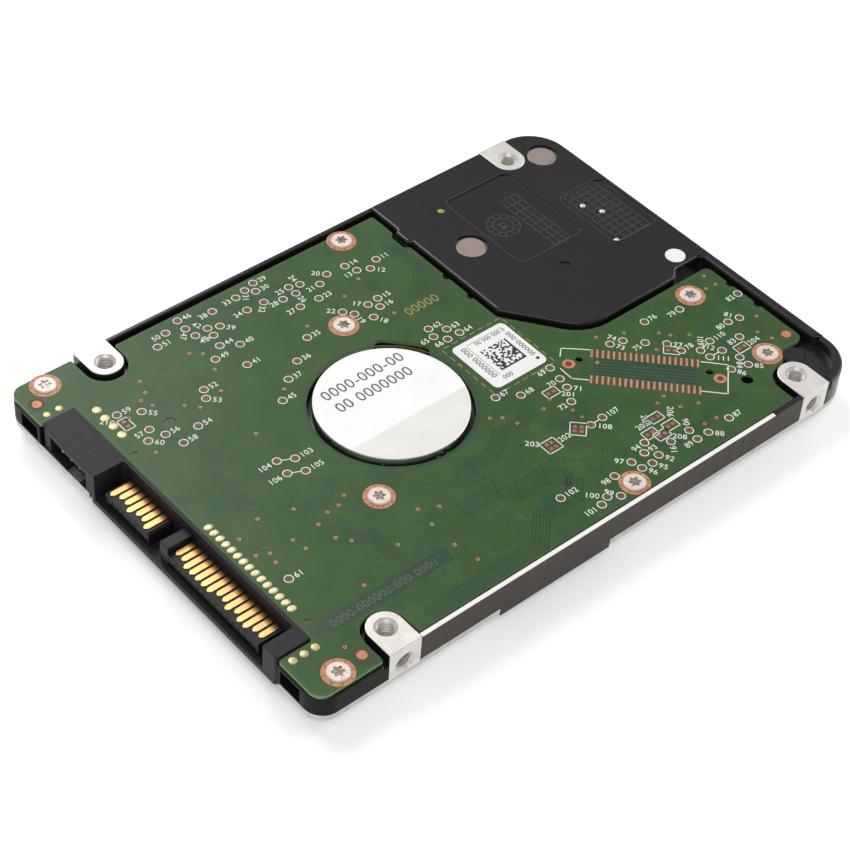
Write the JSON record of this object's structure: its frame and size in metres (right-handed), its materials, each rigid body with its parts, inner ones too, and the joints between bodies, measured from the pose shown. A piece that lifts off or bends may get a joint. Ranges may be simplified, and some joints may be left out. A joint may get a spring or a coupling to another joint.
{
  "type": "hard disk drive",
  "caption": "Flat small-form hard disk drive lying board side up, with a data and power plug, screw bosses, and a platter and head arm sealed inside.",
  "frame": {"origin": "centre of the cover face that the drive lies on, at the middle of its length and width", "axes": "+Z out of the circuit-board side, +Y along the length away from the connector, +X across the width"},
  "size_m": [0.0698, 0.1002, 0.007],
  "materials": {
    "casting": "black coated die-cast aluminium, bare on the bosses",
    "cover_sheet": "stamped, satin",
    "gasket_rubber": "matte",
    "label_paper": "printed label film",
    "motor_label_film": "white film with a clear grey window",
    "seal_paper": "white seal",
    "foil": "dull foil",
    "screw_steel": "zinc plated",
    "board_green": "solder mask over glass fibre",
    "connector_plastic": "moulded",
    "contact_gold": "gold plated",
    "chip_black": "moulded epoxy",
    "motor_steel": "turned and plated",
    "turned_steel": "ground",
    "sintered_bronze": "sintered",
    "lamination": "nickel plated",
    "copper_wire": "enamelled copper wire",
    "polyimide": "amber film",
    "machined_aluminium": "machined",
    "plated_magnet": "nickel plated",
    "platter_mirror": "polished",
    "ramp_plastic": "moulded",
    "slider_ceramic": "ceramic",
    "filter_fleece": "fleece"
  },
  "bodies": {
    "base": {"actuator_flex": "polyimide", "base_casting": "casting", "bearing_sleeve": "sintered_bronze", "board_label": "label_paper", "board_screw_1": "screw_steel", "board_screw_2": "screw_steel", "board_screw_3": "screw_steel", "board_screw_4": "screw_steel", "board_screw_5": "screw_steel", "board_screw_6": "screw_steel", "board_screw_7": "screw_steel", "board_screw_8": "screw_steel", "breather_filter": "filter_fleece", "breather_seal": "seal_paper", "circuit_board": "board_green", "controller_chip": "chip_black", "cover_gasket": "gasket_rubber", "cover_label": "label_paper", "cover_screw_1": "screw_steel", "cover_screw_2": "screw_steel", "cover_screw_3": "screw_steel", "cover_screw_4": "screw_steel", "cover_screw_5": "screw_steel", "cover_screw_6": "screw_steel", "crash_stop": "gasket_rubber", "flex_connector": "connector_plastic", "jumper_pins": "contact_gold", "load_ramp": "ramp_plastic", "magnet_lower": "plated_magnet", "magnet_upper": "plated_magnet", "motor_base": "motor_steel", "motor_driver_chip": "chip_black", "motor_flex": "polyimide", "motor_label": "motor_label_film", "pivot_seal": "foil", "pivot_shaft": "turned_steel", "recirculation_filter": "filter_fleece", "sata_connector_housing": "connector_plastic", "sata_power_contacts": "contact_gold", "sata_signal_contacts": "contact_gold", "servo_seal": "foil", "stator_core": "lamination", "stator_windings": "copper_wire", "top_cover": "cover_sheet", "yoke_lower": "lamination", "yoke_upper": "lamination"},
    "spindle": {"spindle_hub": "machined_aluminium", "spindle_shaft": "turned_steel", "rotor_magnet": "plated_magnet", "platter": "platter_mirror", "disk_clamp": "machined_aluminium", "clamp_screw": "screw_steel"},
    "actuator": {"actuator_arm": "machined_aluminium", "voice_coil": "copper_wire", "pivot_bearing": "turned_steel", "suspension_lower": "turned_steel", "suspension_upper": "turned_steel", "slider_lower": "slider_ceramic", "slider_upper": "slider_ceramic"},
    "latch": {"inertia_latch": "ramp_plastic"}
  },
  "joints": [
    {"name": "spindle_spin", "type": "hinge", "parent": "base", "child": "spindle", "pos_m": [0, -0.00925, 0.0024], "axis": [0, 0, 1], "continuous": true},
    {"name": "actuator_swing", "type": "hinge", "parent": "base", "child": "actuator", "pos_m": [-0.0186, 0.022, 0.0024], "axis": [0, 0, 1], "range_deg": [-36, 0]},
    {"name": "latch_swing", "type": "hinge", "parent": "base", "child": "latch", "pos_m": [-0.0156, 0.0422, 0.0032], "axis": [0, 0, 1], "range_deg": [-6, 6]}
  ]
}
